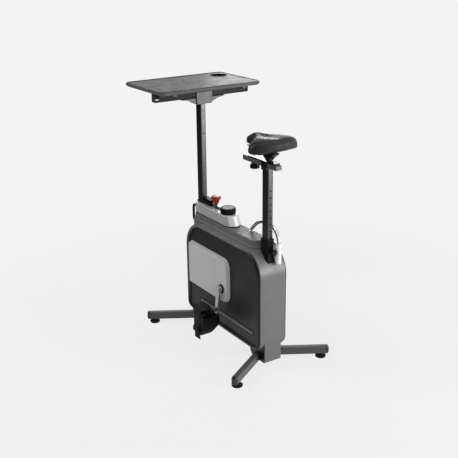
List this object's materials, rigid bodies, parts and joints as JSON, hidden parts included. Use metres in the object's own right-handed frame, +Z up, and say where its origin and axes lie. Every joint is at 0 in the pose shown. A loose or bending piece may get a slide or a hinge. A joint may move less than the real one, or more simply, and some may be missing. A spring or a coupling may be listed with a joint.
{
  "type": "desk exercise bike",
  "caption": "Upright desk exercise bike: slim enclosed pedal drive on splayed levelling legs, height-adjustable saddle post and a desk post with a sliding tray.",
  "frame": {"origin": "centre of the footprint's bounding box, at floor level", "axes": "+Z up, +X forward from the saddle to the desk, +Y to the rider's left"},
  "size_m": [0.903, 0.5374, 1.1945],
  "materials": {
    "case_paint": "satin metallic paint, mid grey",
    "bracket_paint": "satin paint, mid grey",
    "cover_plastic": "satin, charcoal",
    "silver_plastic": "satin, silver grey",
    "neck_plastic": "satin, dark grey",
    "head_paint": "satin, dark grey",
    "black_plastic": "satin, black",
    "black_paint": "satin, black",
    "post_paint": "semi-gloss, black",
    "steel": "bright",
    "chrome": "polished",
    "sleeve_plastic": "satin, pale grey",
    "red_plastic": "semi-gloss, dark red",
    "leg_paint": "satin, dark grey",
    "cap_plastic": "satin, dark grey",
    "rubber": "matt, black",
    "vinyl": "padded vinyl, black",
    "desk_board": "satin, grey",
    "iron": "as cast"
  },
  "bodies": {
    "frame": {"case_band": "case_paint", "left_cover": "cover_plastic", "right_cover": "cover_plastic", "left_crank_housing": "silver_plastic", "right_crank_housing": "silver_plastic", "left_axle_seal": "rubber", "right_axle_seal": "rubber", "inner_frame": "iron", "drive_belt": "rubber", "neck": "neck_plastic", "console_seal": "rubber", "console": "silver_plastic", "desk_collar": "black_plastic", "seat_collar": "black_plastic", "front_loop": "black_paint", "rear_handle": "chrome", "handle_sleeve": "sleeve_plastic", "front_foot_bracket": "bracket_paint", "rear_foot_bracket": "bracket_paint", "front_left_leg": "leg_paint", "front_left_leg_cap": "cap_plastic", "front_right_leg": "leg_paint", "front_right_leg_cap": "cap_plastic", "rear_left_leg": "leg_paint", "rear_left_leg_cap": "cap_plastic", "rear_right_leg": "leg_paint", "rear_right_leg_cap": "cap_plastic"},
    "crankset": {"crank_axle": "steel", "left_crank": "steel", "right_crank": "steel", "left_spindle": "steel", "right_spindle": "steel"},
    "left_pedal_body": {"left_pedal": "black_plastic", "left_strap": "rubber"},
    "right_pedal_body": {"right_pedal": "black_plastic", "right_strap": "rubber"},
    "flywheel_body": {"flywheel": "iron"},
    "magnet": {"magnet_arm": "steel"},
    "dial": {"resistance_dial": "black_plastic"},
    "lever": {"lever_stem": "black_paint", "lever_knob": "red_plastic"},
    "desk_lock": {"desk_lock_pin": "steel"},
    "seat_mast": {"seat_post": "post_paint", "seat_rail": "leg_paint"},
    "carriage": {"saddle_carriage": "black_paint"},
    "carriage_knob": {"rail_knob": "black_plastic"},
    "saddle_body": {"saddle_clamp": "black_paint", "saddle_pan": "black_plastic", "saddle": "vinyl"},
    "seat_lock": {"seat_pin": "black_plastic"},
    "desk_mast": {"desk_post": "post_paint", "desk_head": "head_paint", "desk_beam": "head_paint", "support_bar": "black_paint"},
    "desk_tray": {"desk_top": "desk_board", "cup_holder": "black_plastic"},
    "front_left_foot_body": {"front_left_foot": "rubber"},
    "front_right_foot_body": {"front_right_foot": "rubber"},
    "rear_left_foot_body": {"rear_left_foot": "rubber"},
    "rear_right_foot_body": {"rear_right_foot": "rubber"}
  },
  "joints": [
    {"name": "flywheel_spin", "type": "hinge", "parent": "frame", "child": "flywheel_body", "pos_m": [0.06, 0, 0.345], "axis": [0, 1, 0], "continuous": true},
    {"name": "crank_spin", "type": "hinge", "parent": "frame", "child": "crankset", "pos_m": [-0.081, 0, 0.294], "axis": [0, 1, 0], "continuous": true},
    {"name": "left_pedal_spin", "type": "hinge", "parent": "crankset", "child": "left_pedal_body", "pos_m": [-0.06277, 0.15805, 0.16428], "axis": [0, 1, 0], "continuous": true},
    {"name": "right_pedal_spin", "type": "hinge", "parent": "crankset", "child": "right_pedal_body", "pos_m": [-0.09923, -0.15805, 0.42372], "axis": [0, 1, 0], "continuous": true},
    {"name": "dial_turn", "type": "hinge", "parent": "frame", "child": "dial", "pos_m": [-0.013, 0, 0.6283], "axis": [0, 0, 1], "range_deg": [0, 300]},
    {"name": "magnet_swing", "type": "hinge", "parent": "frame", "child": "magnet", "pos_m": [-0.005, 0, 0.475], "axis": [0, -1, 0], "range_deg": [0, 8]},
    {"name": "lever_tilt", "type": "hinge", "parent": "frame", "child": "lever", "pos_m": [0.088, 0, 0.598], "axis": [0, -1, 0], "range_deg": [0, 15], "stiffness_Nm_per_rad": 1.5, "springref_deg": -2.86},
    {"name": "desk_lock_slide", "type": "slide", "parent": "frame", "child": "desk_lock", "axis": [-1, 0, 0], "range_m": [0, 0.01]},
    {"name": "seat_height", "type": "slide", "parent": "frame", "child": "seat_mast", "axis": [0, 0, 1], "range_m": [-0.21, 0.06]},
    {"name": "saddle_slide", "type": "slide", "parent": "seat_mast", "child": "carriage", "axis": [1, 0, 0], "range_m": [-0.045, 0.045]},
    {"name": "slider_knob_turn", "type": "hinge", "parent": "carriage", "child": "carriage_knob", "pos_m": [-0.2264, 0, 0.9157], "axis": [0, 0, 1], "range_deg": [0, 180]},
    {"name": "saddle_tilt", "type": "hinge", "parent": "carriage", "child": "saddle_body", "pos_m": [-0.333, 0, 0.956], "axis": [0, 1, 0], "range_deg": [-15, 15]},
    {"name": "seat_lock_pull", "type": "slide", "parent": "frame", "child": "seat_lock", "axis": [-1, 0, 0], "range_m": [0, 0.012], "stiffness_N_per_m": 300, "springref_m": -0.003},
    {"name": "desk_height", "type": "slide", "parent": "frame", "child": "desk_mast", "axis": [0, 0, 1], "range_m": [-0.15, 0.05]},
    {"name": "desk_slide", "type": "slide", "parent": "desk_mast", "child": "desk_tray", "axis": [1, 0, 0], "range_m": [-0.08, 0.02]},
    {"name": "front_left_foot_level", "type": "slide", "parent": "frame", "child": "front_left_foot_body", "axis": [0, 0, -1], "range_m": [0, 0.012]},
    {"name": "front_right_foot_level", "type": "slide", "parent": "frame", "child": "front_right_foot_body", "axis": [0, 0, -1], "range_m": [0, 0.012]},
    {"name": "rear_left_foot_level", "type": "slide", "parent": "frame", "child": "rear_left_foot_body", "axis": [0, 0, -1], "range_m": [0, 0.012]},
    {"name": "rear_right_foot_level", "type": "slide", "parent": "frame", "child": "rear_right_foot_body", "axis": [0, 0, -1], "range_m": [0, 0.012]}
  ],
  "couplings": [
    {"joint": "crank_spin", "follows": "flywheel_spin", "ratio": 0.3},
    {"joint": "magnet_swing", "follows": "dial_turn", "ratio": 0.02666},
    {"joint": "desk_lock_slide", "follows": "lever_tilt", "m_per_rad": 0.038}
  ]
}
